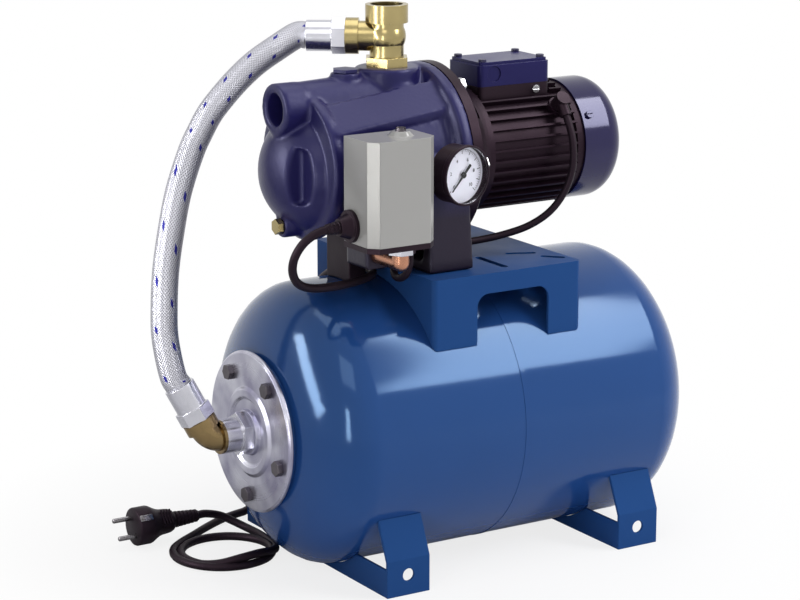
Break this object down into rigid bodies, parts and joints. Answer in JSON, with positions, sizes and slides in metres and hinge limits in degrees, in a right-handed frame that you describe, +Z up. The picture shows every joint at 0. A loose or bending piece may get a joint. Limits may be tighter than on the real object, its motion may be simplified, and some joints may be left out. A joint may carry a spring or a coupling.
{
  "type": "booster pump set",
  "caption": "Self-priming jet pump with motor, pressure switch, gauge and mains lead on a horizontal pressure tank with feet, joined to the tank by a braided hose.",
  "frame": {"origin": "on the floor under the middle of the set, its hose, leads and plug left out", "axes": "+X along the tank from its flange to its domed end, -Y towards the operating side with gauge and switch, +Z up"},
  "size_m": [0.5477, 0.2914, 0.527],
  "materials": {
    "blue_enamel": "gloss enamel",
    "black_rubber": "satin",
    "zinc_steel": "bright zinc plating",
    "bright_steel": "bright",
    "brass": "satin",
    "navy_cast": "painted, satin",
    "black_cast": "painted black",
    "navy_sheet": "gloss paint",
    "black_plastic": "moulded",
    "white_plastic": "moulded",
    "winding": "lacquered copper and laminated steel",
    "grey_plastic": "moulded",
    "copper": "bright",
    "needle_black": "matte black",
    "clear_lens": "clear"
  },
  "bodies": {
    "set": {"tank_shell": "blue_enamel", "tank_membrane": "black_rubber", "tank_flange": "zinc_steel", "flange_bolts": "bright_steel", "air_valve": "brass", "air_valve_cap": "black_rubber", "foot_front": "blue_enamel", "foot_rear": "blue_enamel", "pump_platform": "blue_enamel", "platform_bolts": "bright_steel", "pump_casing": "navy_cast", "casing_rest": "black_rubber", "drain_plug": "brass", "priming_plug": "navy_cast", "casing_bolts": "bright_steel", "motor_bracket": "black_cast", "ejector_tube": "white_plastic", "diffuser": "white_plastic", "seal_seat": "white_plastic", "front_bearing": "bright_steel", "rear_bearing": "bright_steel", "stator": "winding", "motor_housing": "black_cast", "end_shield": "black_cast", "tie_rods": "bright_steel", "fan_cover": "navy_sheet", "fan_cover_screws": "bright_steel", "terminal_box": "black_plastic", "terminal_lid": "navy_sheet", "terminal_screws": "bright_steel", "run_capacitor": "white_plastic", "motor_gland": "black_plastic", "switch_base": "black_plastic", "switch_cover": "grey_plastic", "cover_screw": "bright_steel", "switch_nut": "zinc_steel", "switch_elbow": "copper", "switch_glands": "black_plastic", "gauge_case": "black_cast", "gauge_dial": "white_plastic", "gauge_lens": "clear_lens", "discharge_tee": "brass", "tank_nipple": "zinc_steel", "tank_elbow": "brass", "hose": "zinc_steel", "hose_fittings": "zinc_steel", "motor_lead": "black_rubber", "mains_lead": "black_rubber", "mains_coil": "black_rubber", "mains_plug": "black_plastic"},
    "rotor": {"motor_shaft": "bright_steel", "rotor_core": "bright_steel", "impeller": "brass", "impeller_nut": "bright_steel", "seal_ring": "black_rubber", "cooling_fan": "black_plastic"},
    "needle": {"gauge_needle": "needle_black"},
    "plunger": {"switch_plunger": "zinc_steel"},
    "lever": {"switch_lever": "zinc_steel"},
    "valve_pin": {"air_valve_pin": "bright_steel"}
  },
  "joints": [
    {"name": "rotor_spin", "type": "hinge", "parent": "set", "child": "rotor", "pos_m": [0.02329, 0, 0.383], "axis": [1, 0, 0], "continuous": true},
    {"name": "needle_turn", "type": "hinge", "parent": "set", "child": "needle", "pos_m": [-0.03465, -0.11132, 0.382], "axis": [-0.1908, 0.9816, 0], "range_deg": [0, 270]},
    {"name": "plunger_slide", "type": "slide", "parent": "set", "child": "plunger", "axis": [0, 0, 1], "range_m": [0, 0.0015]},
    {"name": "lever_tilt", "type": "hinge", "parent": "set", "child": "lever", "pos_m": [-0.09871, -0.1215, 0.368], "axis": [1, 0, 0], "range_deg": [0, 5.37]},
    {"name": "valve_pin_slide", "type": "slide", "parent": "set", "child": "valve_pin", "axis": [-1, 0, 0], "range_m": [0, 0.0015]}
  ],
  "couplings": [
    {"joint": "lever_tilt", "follows": "plunger_slide", "rad_per_m": 62.5}
  ]
}
